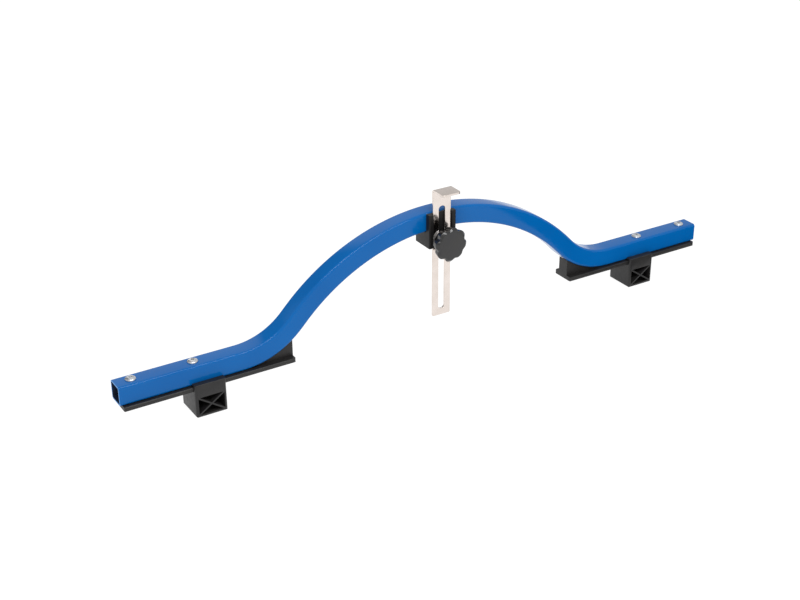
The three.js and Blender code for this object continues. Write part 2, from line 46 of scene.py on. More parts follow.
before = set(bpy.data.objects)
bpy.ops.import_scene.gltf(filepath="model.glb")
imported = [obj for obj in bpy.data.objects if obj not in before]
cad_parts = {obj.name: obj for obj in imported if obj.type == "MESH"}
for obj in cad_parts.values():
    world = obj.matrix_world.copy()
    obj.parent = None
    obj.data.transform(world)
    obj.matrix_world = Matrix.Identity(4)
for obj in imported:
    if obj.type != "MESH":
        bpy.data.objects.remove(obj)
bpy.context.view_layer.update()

MM = 0.001
MICRON = 0.000001

# Places that come from the frame
TUBE_LOW, TUBE_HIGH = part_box("arch_tube")
TUBE_SIDE = TUBE_HIGH.y - TUBE_LOW.y
TUBE_MIDDLE_Y = (TUBE_HIGH.y + TUBE_LOW.y) / 2
TUBE_END = TUBE_HIGH.x
TAB_TOP = TUBE_LOW.z + TUBE_SIDE
TAB_MIDDLE_Z = TUBE_LOW.z + TUBE_SIDE / 2
PLATE_LOW, PLATE_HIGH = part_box("indicator_plate")
KNOB_LOW, KNOB_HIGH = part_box("star_knob")
KNOB_CENTRE_Z = (KNOB_LOW.z + KNOB_HIGH.z) / 2
KNOB_REACH = KNOB_HIGH.y - KNOB_LOW.y
RAIL_SCREWS = [
    "left_outer_rail_screw",
    "left_inner_rail_screw",
    "right_inner_rail_screw",
    "right_outer_rail_screw",
]

# Points closer than a weld become one, and so do faces within FLAT of each other
WELD = 2 * MICRON
TUBE_WELD = 10 * MICRON
FLAT = math.radians(1)

# An edge sharper than this many degrees stays sharp in the shading, or gets rounded
CREASE = 32

# How finely the round stretches are divided
UPPER_BEND_STEPS = 34
LOWER_BEND_STEPS = 20
TUBE_CORNER_STEPS = 8
FOOT_CORNER_STEPS = 6
TAB_CORNER_STEPS = 8
SLOT_END_STEPS = 16
FOLD_STEPS = 10
KNOB_FACE_STEPS = 10
KNOB_ROUND_STEPS = 4
SIDES_PER_LOBE = 16
SCREW_DOME_STEPS = 12
SCREW_SIDES = 48


# Settings


def from_hex(code):
    """Linear colour from an sRGB hex code."""
    channels = [int(code[start:start + 2], 16) / 255 for start in (0, 2, 4)]
    linear = [c / 12.92 if c <= 0.04045 else ((c + 0.055) / 1.055) ** 2.4 for c in channels]
    return (*linear, 1.0)


def colour_hex(name, description, code):
    """A colour, whose default is an sRGB hex code."""
    return bpy.props.FloatVectorProperty(
        name=name, description=description, default=from_hex(code), size=4, min=0, max=1, subtype="COLOR")


def length_mm(name, description, millimetres):
    """A length, whose default is given in millimetres."""
    return bpy.props.FloatProperty(
        name=name, description=description, default=millimetres * MM, unit="LENGTH")


def angle_rad(name, description, radians):
    """An angle, whose default is given in radians."""
    return bpy.props.FloatProperty(name=name, description=description, default=radians, subtype="ANGLE")


class TubeSettings(bpy.types.PropertyGroup):
    """Bent square tube and its paint"""

    wall: length_mm("Wall", "Wall of the square tube", 1.5)
    corner_radius: length_mm("Corner Radius", "Outer corner radius of the tube", 2.4)
    lower_bend_radius: length_mm("Lower Bend Radius", "Middle-line radius beside each tab", 78)
    upper_bend_radius: length_mm("Upper Bend Radius", "Middle-line radius of the arch", 210.5)
    bend_angle: angle_rad("Bend Angle", "Slope of the ramp between the two bends", math.radians(45.5))
    saw_edge: length_mm("Saw Edge", "Radius of the deburred edges at both mouths", 0.2)
    paint: colour_hex("Paint", "Colour of the powder coat", "00599F")
    thin_paint: colour_hex("Thin Paint", "Colour where the coat is a little thinner", "015EA5")
    # Paler blue over the sawn ends: partly a thinner coat, partly a painted highlight on the cut ends
    end_paint_and_highlight: colour_hex("End Paint And Highlight", "Colour of the coat over the sawn ends", "2F86CE")
    # The bore's two tones are painted dark: partly bare steel and paint mist, partly painted shade inside
    # the tube
    bore: colour_hex("Bore", "Colour of the bare steel inside", "232A36")
    overspray_and_shade: colour_hex("Overspray And Shade", "Mist of paint inside", "1A2F52")
    peel_size: length_mm("Peel Size", "Wavelength of the coat's orange peel", 1.8)


class PlasticSettings(bpy.types.PropertyGroup):
    """Moulded nylon parts"""

    rail_edge: length_mm("Rail Edge", "Radius of the rails' moulded edges", 0.2)
    block_edge: length_mm("Block Edge", "Radius of the blocks' moulded edges", 0.25)
    bracket_edge: length_mm("Bracket Edge", "Radius of the bracket's moulded edges", 0.3)
    grain: length_mm("Grain", "Spacing of the mould's spark-eroded grain", 0.45)
    nylon: colour_hex("Nylon", "Colour of the rails, blocks and bracket", "1B1A1B")
    knob_nylon: colour_hex("Knob Nylon", "Colour of the star knob", "1C1C1E")
    flow_marks: colour_hex("Flow Marks", "Paler tone where the melt flowed last", "21201F")


class PlateSettings(bpy.types.PropertyGroup):
    """Slotted indicator plate"""

    thickness: length_mm("Thickness", "Thickness of the strip", 2.05)
    bend_radius: length_mm("Bend Radius", "Inner radius of the bend at the top", 0.8)
    corner_radius: length_mm("Corner Radius", "Corner radius of the tab's free end", 2.4)
    foot_radius: length_mm("Foot Radius", "Corner radius at the lower end", 1.2)
    slot_width: length_mm("Slot Width", "Width of the slot", 7)
    slot_length: length_mm("Slot Length", "Length of the slot, end to end", 108.3)
    slot_margin: length_mm("Slot Margin", "Metal below the slot", 6.7)
    edge_radius: length_mm("Edge Radius", "Tumbled edge of the strip", 0.3)
    nickel: colour_hex("Nickel", "Colour of the nickel plating", "E8DED8")
    stain: colour_hex("Stain", "Colour where handling has dulled it", "DACFC7")


class KnobSettings(bpy.types.PropertyGroup):
    """Star knob"""

    radius: length_mm("Radius", "Mean radius of the grip", 16.05)
    face_radius: length_mm("Face Radius", "Radius of the face inside its chamfer", 14.2)
    lobe_height: length_mm("Lobe Height", "Height of each lobe over the mean radius", 1.1)
    lobes: bpy.props.IntProperty(name="Lobes", description="Number of lobes", default=8)
    turn: angle_rad("Turn", "Turn of the first lobe from the right", math.radians(-8.7))
    dome_height: length_mm("Dome Height", "Rise of the slightly domed face", 0.5)
    shoulder: length_mm("Shoulder", "From the face's edge back to the widest part", 2)
    waist: length_mm("Waist", "How much narrower the grip is at its back", 1.2)
    edge_radius: length_mm("Edge Radius", "Radius of the grip's back rim", 1.2)
    rim_wall: length_mm("Rim Wall", "Wall of the grip round its hollow back", 2)
    skin: length_mm("Skin", "Thickness of the front over the hollow", 2.4)
    rib: length_mm("Rib", "Thickness of each rib in the hollow", 1.5)
    rib_setback: length_mm("Rib Setback", "How far the ribs lie inside the hollow", 0.8)
    hub_diameter: length_mm("Hub Diameter", "Diameter of the hub behind the grip", 13)
    hub_length: length_mm("Hub Length", "Hub between washer and grip", 7.4)


class ScrewSettings(bpy.types.PropertyGroup):
    """Domed screws of the rails"""

    head_diameter: length_mm("Head Diameter", "Diameter of the head", 10)
    head_height: length_mm("Head Height", "Height of the head", 2.6)
    shank_diameter: length_mm("Shank Diameter", "Diameter of the shank", 5)
    recess_span: length_mm("Recess Span", "Span of the cross recess", 4.6)
    recess_width: length_mm("Recess Width", "Width of each slot of the cross", 1.1)
    recess_depth: length_mm("Recess Depth", "Depth of the cross", 1.7)
    edge_radius: length_mm("Edge Radius", "Rounding of the head's edges", 0.08)
    most_turn: angle_rad("Most Turn", "Most that a screw is turned at random", math.pi / 2)
    seed: bpy.props.IntProperty(name="Seed", description="Seed of the screws' turns", default=4)
    zinc: colour_hex("Zinc", "Colour of the zinc plating", "DDE0E3")
    dull_zinc: colour_hex("Dull Zinc", "Colour of its duller spots", "B4B8BC")
    # Painted shade: the washer, nuts and stud get a darker zinc for the dark reflections and shadow on
    # the washer
    aged_zinc: colour_hex("Shade Darkened Zinc", "Colour of the washer, nuts and stud", "84878B")


class StageSettings(bpy.types.PropertyGroup):
    """Floor, lights and camera"""

    glow: bpy.props.FloatProperty(name="Glow", description="Glow of the light table", default=0.96)
    sky: bpy.props.FloatProperty(name="Sky", description="Strength of the light overhead", default=0.9)
    horizon: bpy.props.FloatProperty(
        name="Horizon", description="Strength of the light at the horizon", default=0.72)
    backdrop: bpy.props.FloatProperty(
        name="Backdrop", description="Brightness of the backdrop past the floor", default=0.9)
    key_power: bpy.props.FloatProperty(
        name="Key Power", description="Power of the softbox over the front", default=9.3, unit="POWER")
    floor: colour_hex("Floor", "Colour of the light table under its glow", "595959")
    velvet: colour_hex("Velvet", "Colour of the black card", "050505")


SETTINGS = {
    "gauge_tube": TubeSettings,
    "gauge_plastic": PlasticSettings,
    "gauge_plate": PlateSettings,
    "gauge_knob": KnobSettings,
    "gauge_screw": ScrewSettings,
    "gauge_stage": StageSettings,
}


# Nodes and patterns


def add_node(tree, kind, inputs=None, **settings):
    """Adds a node with its settings; an input is given a value, a socket to link or a list of them."""
    node = tree.nodes.new(kind)
    for name, value in settings.items():
        setattr(node, name, value)
    for socket, given in (inputs or {}).items():
        for value in given if isinstance(given, list) else [given]:
            if isinstance(value, bpy.types.NodeSocket):
                tree.links.new(value, node.inputs[socket])
            else:
                node.inputs[socket].default_value = value
    return node


def new_material(name, **values):
    """A material with one Principled shader; returns it with its node tree and shader."""
    material = bpy.data.materials.new(name)
    material.use_nodes = True
    tree = material.node_tree
    shader = next(node for node in tree.nodes if node.type == "BSDF_PRINCIPLED")
    for socket, value in values.items():
        shader.inputs[socket.replace("_", " ")].default_value = value
    return material, tree, shader


def grain(tree, size, stretch=(1, 1, 1), detail=2.0):
    """Noise whose features are about one size apart, in metres, on the piece's own coordinates."""
    place = add_node(tree, "ShaderNodeTexCoord")
    mapped = add_node(tree, "ShaderNodeMapping", {"Vector": place.outputs["Object"], "Scale": stretch})
    noise = add_node(tree, "ShaderNodeTexNoise", {
        "Vector": mapped.outputs["Vector"], "Scale": 1 / size, "Detail": detail})
    return noise.outputs["Fac"]


def spread(tree, pattern, low, high, start=0.3, end=0.7):
    """Number from low to high as a pattern goes from start to end, between which noise mostly lies."""
    spreader = add_node(tree, "ShaderNodeMapRange", {
        "Value": pattern, "From Min": start, "From Max": end, "To Min": low, "To Max": high})
    return spreader.outputs["Result"]


def two_tones(tree, pattern, first, second, start=0.3, end=0.7):
    """Colour from the first to the second as a pattern goes from start to end."""
    share = spread(tree, pattern, 0, 1, start, end)
    mixed = add_node(tree, "ShaderNodeMix", {"Factor": share, "A": first, "B": second}, data_type="RGBA")
    return mixed.outputs["Result"]


def add_bumps(tree, shader, layers):
    """Chains bumps into the shader's normal; each layer is a height socket and its depth in metres."""
    normal = None
    for height, depth in layers:
        bump = add_node(tree, "ShaderNodeBump", {"Height": height, "Strength": 1.0, "Distance": depth})
        if normal:
            tree.links.new(normal, bump.inputs["Normal"])
        normal = bump.outputs["Normal"]
    tree.links.new(normal, shader.inputs["Normal"])


# Materials


def powder_coat(tube):
    """Gloss polyester powder coat on steel: an even deep blue with soft orange peel in its gloss.

    It runs thin over the sawn ends of the tube, along a ragged line, and is painted a paler blue there:
    partly the thinner coat, partly a painted highlight on the cut ends.
    """
    material, tree, shader = new_material("gloss_powder_coat", IOR=1.5, Specular_IOR_Level=0.2)
    clouds = grain(tree, 60 * MM)
    gloss = grain(tree, 9 * MM)
    peel = grain(tree, tube.peel_size, detail=1.0)
    ragged = spread(tree, grain(tree, 0.8 * MM), -0.05 * MM, 0.05 * MM)
    place = add_node(tree, "ShaderNodeTexCoord")
    axes = add_node(tree, "ShaderNodeSeparateXYZ", {"Vector": place.outputs["Object"]})
    along = add_node(tree, "ShaderNodeMath", {0: axes.outputs["X"]}, operation="ABSOLUTE")
    reach = add_node(tree, "ShaderNodeMath", {0: along.outputs[0], 1: ragged}, operation="ADD")
    paint = two_tones(tree, clouds, tube.paint, tube.thin_paint)
    # The sawn ends take the paler blue: partly the thinner coat, partly a painted highlight
    coat = two_tones(
        tree, reach.outputs[0], paint, tube.end_paint_and_highlight, start=TUBE_END - 0.3 * MM, end=TUBE_END - 0.1 * MM)
    tree.links.new(coat, shader.inputs["Base Color"])
    tree.links.new(spread(tree, gloss, 0.08, 0.13), shader.inputs["Roughness"])
    add_bumps(tree, shader, [(peel, 3.5 * MICRON)])
    return material


def drawn_steel_bore(tube):
    """Inside of the drawn tube: oiled bare steel with a mist of paint, dull, and painted dark navy as the
    shade inside the tube.
    """
    material, tree, shader = new_material("drawn_steel_bore", Metallic=0.4)
    streaks = grain(tree, 3 * MM, stretch=(0.1, 1, 1), detail=3.0)
    # Dark navy tones: painted shade inside the tube over the steel and paint mist
    tree.links.new(two_tones(tree, streaks, tube.bore, tube.overspray_and_shade), shader.inputs["Base Color"])
    tree.links.new(spread(tree, streaks, 0.45, 0.6), shader.inputs["Roughness"])
    add_bumps(tree, shader, [(streaks, 10 * MICRON)])
    return material


def moulded_nylon(plastic, name, tone, roughness, shine, depth):
    """Injection-moulded black nylon from a spark-eroded mould: satin, with a fine even grain.

    The real grain is about a tenth of a millimetre apart, too fine to show, so it is drawn coarser.
    """
    material, tree, shader = new_material(name, IOR=1.53, Specular_IOR_Level=shine)
    flow = grain(tree, 12 * MM)
    gloss = grain(tree, 4 * MM)
    fine_grain = grain(tree, plastic.grain, detail=3.0)
    sink_marks = grain(tree, 9 * MM, detail=1.0)
    tree.links.new(two_tones(tree, flow, tone, plastic.flow_marks), shader.inputs["Base Color"])
    tree.links.new(spread(tree, gloss, *roughness), shader.inputs["Roughness"])
    add_bumps(tree, shader, [(fine_grain, depth), (sink_marks, 25 * MICRON)])
    return material


def nickel_plate(plate):
    """Bright nickel on cold-rolled strip: mirror-like, warm, with faint rolling lines along its length.

    The lines are drawn half a millimetre apart, because the real ones are too fine to show.
    """
    material, tree, shader = new_material("nickel_plated_strip", Metallic=1.0)
    rolling_lines = grain(tree, 0.5 * MM, stretch=(1, 1, 0.02), detail=3.0)
    stains = grain(tree, 16 * MM, detail=4.0)
    waves = grain(tree, 14 * MM, detail=1.0)
    tree.links.new(two_tones(tree, stains, plate.nickel, plate.stain), shader.inputs["Base Color"])
    tree.links.new(spread(tree, rolling_lines, 0.1, 0.2), shader.inputs["Roughness"])
    add_bumps(tree, shader, [(rolling_lines, 2 * MICRON), (waves, 30 * MICRON)])
    return material


def zinc_plate(name, bright, dull):
    """Zinc on steel fasteners: cool silver, a little uneven in its gloss."""
    material, tree, shader = new_material(name, Metallic=1.0)
    spots = grain(tree, 2.5 * MM, detail=3.0)
    crystals = grain(tree, 0.6 * MM)
    tree.links.new(two_tones(tree, spots, bright, dull), shader.inputs["Base Color"])
    tree.links.new(spread(tree, spots, 0.22, 0.36), shader.inputs["Roughness"])
    add_bumps(tree, shader, [(crystals, 4 * MICRON)])
    return material


def finish_of(name):
    """The named material, made the first time that it is asked for."""
    found = bpy.data.materials.get(name)
    if found:
        return found
    scene = bpy.context.scene
    plastic, screw = scene.gauge_plastic, scene.gauge_screw
    makers = {
        "gloss_powder_coat": lambda: powder_coat(scene.gauge_tube),
        "drawn_steel_bore": lambda: drawn_steel_bore(scene.gauge_tube),
        "grained_nylon": lambda: moulded_nylon(
            plastic, name, plastic.nylon, roughness=(0.4, 0.5), shine=0.36, depth=15 * MICRON),
        "polished_nylon": lambda: moulded_nylon(
            plastic, name, plastic.nylon, roughness=(0.28, 0.36), shine=0.14, depth=15 * MICRON),
        "knob_nylon": lambda: moulded_nylon(
            plastic, name, plastic.knob_nylon, roughness=(0.14, 0.2), shine=0.5, depth=5 * MICRON),
        "nickel_plated_strip": lambda: nickel_plate(scene.gauge_plate),
        "bright_zinc": lambda: zinc_plate(name, screw.zinc, screw.dull_zinc),
        # A darker zinc, painted as shade on the washer, nuts and stud
        "aged_zinc": lambda: zinc_plate(name, screw.dull_zinc, screw.aged_zinc),
    }
    return makers[name]()


# Meshes


def new_object(name, mesh):
    """An object at the origin that holds the mesh."""
    piece = bpy.data.objects.new(name, mesh)
    bpy.context.scene.collection.objects.link(piece)
    return piece


def mesh_of(bm, name):
    """Closes a bmesh into a mesh whose doubles are merged and whose faces point out."""
    bmesh.ops.remove_doubles(bm, verts=bm.verts, dist=WELD)
    bmesh.ops.recalc_face_normals(bm, faces=bm.faces)
    mesh = bpy.data.meshes.new(name)
    bm.to_mesh(mesh)
    bm.free()
    return mesh


def evaluated(piece, name):
    """The piece with its modifiers applied, as a plain mesh."""
    graph = bpy.context.evaluated_depsgraph_get()
    mesh = bpy.data.meshes.new_from_object(piece.evaluated_get(graph), depsgraph=graph)
    mesh.name = name
    return mesh


def bridge(bm, first, second):
    """Faces between two rings of as many corners; a ring may be one corner over and over."""
    for side in range(len(first)):
        after = (side + 1) % len(first)
        corners = dict.fromkeys([first[side], first[after], second[after], second[side]])
        if len(corners) > 2:
            bm.faces.new(list(corners))


def lathe(profile, sides, name):
    """Turns a profile of (radius, height) points about Z; it starts and ends on the axis."""
    bm = bmesh.new()
    angles = [2 * math.pi * side / sides for side in range(sides)]
    rings = []
    for radius, height in profile:
        if radius == 0:
            rings.append([bm.verts.new((0, 0, height))] * sides)
        else:
            rings.append([
                bm.verts.new((radius * math.cos(a), radius * math.sin(a), height)) for a in angles])
    for first, second in zip(rings, rings[1:]):
        bridge(bm, first, second)
    return mesh_of(bm, name)


def prism(outline, low, high, taper=1.0):
    """A prism over an XY outline; its lower end may be tapered about the axis."""
    bm = bmesh.new()
    upper = [bm.verts.new((x, y, high)) for x, y in outline]
    lower = [bm.verts.new((x * taper, y * taper, low)) for x, y in outline]
    bm.faces.new(upper)
    bm.faces.new(lower)
    bridge(bm, upper, lower)
    return mesh_of(bm, "prism")


def joined(first, second, operation):
    """First mesh with the second one cut from it, or added to it."""
    target = new_object("target", first)
    tool = new_object("tool", second)
    cut = target.modifiers.new("cut", "BOOLEAN")
    cut.operation = operation
    cut.object = tool
    cut.solver = "EXACT"
    mesh = evaluated(target, first.name)
    bpy.data.objects.remove(target)
    bpy.data.objects.remove(tool)
    return mesh


def smooth(piece, degrees=CREASE):
    """Smooth shading, with edges sharper than the angle kept sharp."""
    piece.data.shade_smooth()
    piece.data.set_sharp_from_angle(angle=math.radians(degrees))


def round_edges(piece, radius, segments=3, degrees=CREASE):
    """Rounds every edge that is sharper than the angle."""
    bevel = piece.modifiers.new("rounded edges", "BEVEL")
    bevel.width = radius
    bevel.segments = segments
    bevel.limit_method = "ANGLE"
    bevel.angle_limit = math.radians(degrees)
    bevel.harden_normals = True
    bevel.miter_outer = "MITER_ARC"


def hand_over(piece, body, slot, *nodes):
    """Sets what the piece rides on and what it stands for; the slot is not used."""
    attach(piece, body)
    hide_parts(*nodes)


# Geometry node trees


def new_tree(name, sockets):
    """A geometry tree with named inputs; returns it with its input and output nodes."""
    tree = bpy.data.node_groups.new(name, "GeometryNodeTree")
    tree.interface.new_socket(name="Geometry", in_out="INPUT", socket_type="NodeSocketGeometry")
    for title, kind in sockets.items():
        tree.interface.new_socket(name=title, in_out="INPUT", socket_type=kind)
    tree.interface.new_socket(name="Geometry", in_out="OUTPUT", socket_type="NodeSocketGeometry")
    return tree, add_node(tree, "NodeGroupInput"), add_node(tree, "NodeGroupOutput")


def end_tree(tree, given, result, geometry):
    """Ends a tree: its instances are made real and get the given material."""
    real = add_node(tree, "GeometryNodeRealizeInstances", {"Geometry": geometry})
    painted = add_node(tree, "GeometryNodeSetMaterial", {
        "Geometry": real.outputs["Geometry"], "Material": given.outputs["Material"]})
    tree.links.new(painted.outputs["Geometry"], result.inputs["Geometry"])
    return tree


def run_tree(piece, tree, values):
    """Runs a tree on a piece with its named inputs set, and returns the result as a plain mesh."""
    modifier = piece.modifiers.new(tree.name, "NODES")
    modifier.node_group = tree
    for item in tree.interface.items_tree:
        if item.in_out == "INPUT" and item.name in values:
            modifier[item.identifier] = values[item.name]
    mesh = evaluated(piece, piece.name)
    piece.modifiers.remove(modifier)
    return mesh


def tube_tree():
    """Sweeps a hollow rounded square along a line that starts and ends level, and closes its ends."""
    tree, given, result = new_tree("square_tube", {
        "Side": "NodeSocketFloat",
        "Wall": "NodeSocketFloat",
        "Corner Radius": "NodeSocketFloat",
        "Corner Steps": "NodeSocketInt",
        "Weld": "NodeSocketFloat",
        "Material": "NodeSocketMaterial",
    })
    line, side, wall = (given.outputs[name] for name in ("Geometry", "Side", "Wall"))
    corner, steps = given.outputs["Corner Radius"], given.outputs["Corner Steps"]
    walls = add_node(tree, "ShaderNodeMath", {0: wall, 1: 2.0}, operation="MULTIPLY")
    bore_side = add_node(tree, "ShaderNodeMath", {0: side, 1: walls.outputs[0]}, operation="SUBTRACT")
    bore_corner = add_node(tree, "ShaderNodeMath", {0: corner, 1: wall}, operation="SUBTRACT")
    spine = add_node(tree, "GeometryNodeMeshToCurve", {"Mesh": line})
    loops = []
    skins = []
    for width, radius in ((side, corner), (bore_side.outputs[0], bore_corner.outputs[0])):
        square = add_node(
            tree, "GeometryNodeCurvePrimitiveQuadrilateral", {"Width": width, "Height": width})
        loop = add_node(
            tree, "GeometryNodeFilletCurve",
            {"Curve": square.outputs["Curve"], "Radius": radius, "Count": steps}, mode="POLY")
        skin = add_node(tree, "GeometryNodeCurveToMesh", {
            "Curve": spine.outputs["Curve"], "Profile Curve": loop.outputs["Curve"]})
        loops.append(loop.outputs["Curve"])
        skins.append(skin.outputs["Mesh"])
    both = add_node(tree, "GeometryNodeJoinGeometry", {"Geometry": loops})
    flat_cap = add_node(tree, "GeometryNodeFillCurve", {"Curve": both.outputs["Geometry"]})
    cap = add_node(tree, "GeometryNodeTransform", {
        "Geometry": flat_cap.outputs["Mesh"], "Rotation": (math.pi / 2, 0, math.pi / 2)})
    position = add_node(tree, "GeometryNodeInputPosition")
    limits = add_node(
        tree, "GeometryNodeAttributeStatistic",
        {"Geometry": line, "Attribute": position.outputs["Position"]},
        data_type="FLOAT_VECTOR", domain="POINT")
    lowest = add_node(tree, "ShaderNodeSeparateXYZ", {"Vector": limits.outputs["Min"]})
    highest = add_node(tree, "ShaderNodeSeparateXYZ", {"Vector": limits.outputs["Max"]})
    ends = []
    for x in (lowest.outputs["X"], highest.outputs["X"]):
        place = add_node(tree, "ShaderNodeCombineXYZ", {
            "X": x, "Y": lowest.outputs["Y"], "Z": lowest.outputs["Z"]})
        end = add_node(tree, "GeometryNodeTransform", {
            "Geometry": cap.outputs["Geometry"], "Translation": place.outputs["Vector"]})
        ends.append(end.outputs["Geometry"])
    everything = add_node(tree, "GeometryNodeJoinGeometry", {"Geometry": ends + skins})
    welded = add_node(tree, "GeometryNodeMergeByDistance", {
        "Geometry": everything.outputs["Geometry"], "Distance": given.outputs["Weld"]})
    return end_tree(tree, given, result, welded.outputs["Geometry"])


def place_copies(tree, given, result, turn):
    """Puts the given copy on each point, turned about Z, and ends the tree."""
    source = add_node(tree, "GeometryNodeObjectInfo", {"Object": given.outputs["Copy"]})
    spin = add_node(tree, "ShaderNodeCombineXYZ", {"Z": turn})
    placed = add_node(tree, "GeometryNodeInstanceOnPoints", {
        "Points": given.outputs["Geometry"],
        "Instance": source.outputs["Geometry"],
        "Rotation": spin.outputs["Vector"],
    })
    return end_tree(tree, given, result, placed.outputs["Instances"])


def scatter_tree():
    """Puts a copy of one piece on each point, turned about Z by a seeded random angle."""
    tree, given, result = new_tree("copies_on_points", {
        "Copy": "NodeSocketObject",
        "Most Turn": "NodeSocketFloat",
        "Seed": "NodeSocketInt",
        "Material": "NodeSocketMaterial",
    })
    turn = add_node(
        tree, "FunctionNodeRandomValue",
        {"Max": given.outputs["Most Turn"], "Seed": given.outputs["Seed"]}, data_type="FLOAT")
    return place_copies(tree, given, result, turn.outputs["Value"])


def ring_tree():
    """Puts a copy of one piece on each point, turned about Z by an equal step from point to point."""
    tree, given, result = new_tree("copies_round_an_axis", {
        "Copy": "NodeSocketObject",
        "Step": "NodeSocketFloat",
        "Start": "NodeSocketFloat",
        "Material": "NodeSocketMaterial",
    })
    index = add_node(tree, "GeometryNodeInputIndex")
    turn = add_node(
        tree, "ShaderNodeMath",
        {0: index.outputs["Index"], 1: given.outputs["Step"], 2: given.outputs["Start"]},
        operation="MULTIPLY_ADD")
    return place_copies(tree, given, result, turn.outputs[0])


def copies(name, tree, points, copy, values):
    """Runs one of the copying trees on a list of points."""
    cloud = bpy.data.meshes.new(name)
    cloud.from_pydata(points, [], [])
    carrier = new_object(name, cloud)
    mesh = run_tree(carrier, tree, {"Copy": copy, **values})
    bpy.data.objects.remove(carrier)
    bpy.data.objects.remove(copy)
    return mesh


# Tube


def tube_line(tube):
    """Middle line of the tube from end to end, worked out from its bends and the frame's height."""
    lower, upper, bend = tube.lower_bend_radius, tube.upper_bend_radius, tube.bend_angle
    rise = TUBE_HIGH.z - TUBE_SIDE - TUBE_LOW.z
    ramp = (rise - (lower + upper) * (1 - math.cos(bend))) / math.sin(bend)
    bend_start = (lower + upper) * math.sin(bend) + ramp * math.cos(bend)
    crown = TUBE_HIGH.z - TUBE_SIDE / 2
    half = []
    for step in range(UPPER_BEND_STEPS + 1):
        angle = bend * step / UPPER_BEND_STEPS
        half.append((upper * math.sin(angle), crown - upper * (1 - math.cos(angle))))
    for step in range(LOWER_BEND_STEPS, -1, -1):
        angle = bend * step / LOWER_BEND_STEPS
        half.append((
            bend_start - lower * math.sin(angle),
            TAB_MIDDLE_Z + lower * (1 - math.cos(angle)),
        ))
    half.append((TUBE_END, TAB_MIDDLE_Z))
    left = [(-x, z) for x, z in reversed(half[1:])]
    return [(x, TUBE_MIDDLE_Y, z) for x, z in left + half]


class GAUGE_OT_tube(bpy.types.Operator):
    """Make the bent square tube with its powder coat"""

    bl_idname = "gauge.tube"
    bl_label = "Tube"

    def execute(self, context):
        tube = context.scene.gauge_tube
        points = tube_line(tube)
        line = bpy.data.meshes.new("line")
        line.from_pydata(points, [(index, index + 1) for index in range(len(points) - 1)], [])
        spine = new_object("line", line)
        swept = run_tree(spine, tube_tree(), {
            "Side": TUBE_SIDE,
            "Wall": tube.wall,
            "Corner Radius": tube.corner_radius,
            "Corner Steps": TUBE_CORNER_STEPS,
            "Weld": TUBE_WELD,
            "Material": finish_of("gloss_powder_coat"),
        })
        bpy.data.objects.remove(spine)
        # The bore's faces in both tabs, all that the mouths show, lie within half a wall of the outside
        bm = bmesh.new()
        bm.from_mesh(swept)
        inside = (TUBE_SIDE - tube.wall) / 2
        for face in bm.faces:
            off_axis = max(
                max(abs(vert.co.y - TUBE_MIDDLE_Y), abs(vert.co.z - TAB_MIDDLE_Z)) for vert in face.verts)
            face.material_index = 1 if off_axis < inside else 0
        mesh = mesh_of(bm, "powder_coated_tube")
        mesh.materials.append(finish_of("gloss_powder_coat"))
        # The bore's material is painted dark, partly as the shade inside the tube
        mesh.materials.append(finish_of("drawn_steel_bore"))
        piece = new_object("powder_coated_tube", mesh)
        smooth(piece, degrees=40)
        round_edges(piece, tube.saw_edge, segments=2, degrees=60)
        hand_over(piece, "gauge_frame", "blue_powder_coat", "arch_tube")
        return {"FINISHED"}


# Moulded parts


def moulded(node, name, edge_radius, finish, body):
    """A nylon piece: a copy of a node with its flat faces whole again and its edges rounded."""
    bm = bmesh.new()
    bm.from_mesh(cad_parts[node].data)
    bmesh.ops.remove_doubles(bm, verts=bm.verts, dist=WELD)
    bmesh.ops.dissolve_limit(bm, angle_limit=FLAT, verts=bm.verts, edges=bm.edges)
    piece = new_object(name, mesh_of(bm, name))
    piece.data.materials.append(finish_of(finish))
    smooth(piece)
    round_edges(piece, edge_radius)
    hand_over(piece, body, "black_nylon", node)


class GAUGE_OT_rails(bpy.types.Operator):
    """Make the two slide rails"""

    bl_idname = "gauge.rails"
    bl_label = "Rails"

    def execute(self, context):
        edge = context.scene.gauge_plastic.rail_edge
        for side in ("left", "right"):
            moulded(f"{side}_rail", f"{side}_moulded_rail", edge, "grained_nylon", "gauge_frame")
        return {"FINISHED"}


class GAUGE_OT_blocks(bpy.types.Operator):
    """Make the two sliding blocks"""

    bl_idname = "gauge.blocks"
    bl_label = "Sliding Blocks"

    def execute(self, context):
        edge = context.scene.gauge_plastic.block_edge
        for side in ("left", "right"):
            moulded(
                f"{side}_block", f"{side}_moulded_block", edge, "grained_nylon", f"{side}_foot_block")
        return {"FINISHED"}


class GAUGE_OT_bracket(bpy.types.Operator):
    """Make the guide bracket under the crown"""

    bl_idname = "gauge.bracket"
    bl_label = "Guide Bracket"

    def execute(self, context):
        edge = context.scene.gauge_plastic.bracket_edge
        moulded("guide_bracket", "moulded_bracket", edge, "polished_nylon", "gauge_frame")
        return {"FINISHED"}


# Plate


def arc_points(centre, radius, start, end, steps):
    """Points of an arc from a start to an end angle in degrees."""
    angles = [math.radians(start + (end - start) * step / steps) for step in range(steps + 1)]
    return [(centre[0] + radius * math.cos(a), centre[1] + radius * math.sin(a)) for a in angles]


def blank_outline(plate, width, length):
    """Outline of the flat blank, from its foot at 0 to the free end of its tab."""
    half, foot, tab = width / 2, plate.foot_radius, plate.corner_radius
    return [
        *arc_points((-half + foot, foot), foot, 180, 270, FOOT_CORNER_STEPS),
        *arc_points((half - foot, foot), foot, 270, 360, FOOT_CORNER_STEPS),
        *arc_points((half - tab, length - tab), tab, 0, 90, TAB_CORNER_STEPS),
        *arc_points((-half + tab, length - tab), tab, 90, 180, TAB_CORNER_STEPS),
    ]


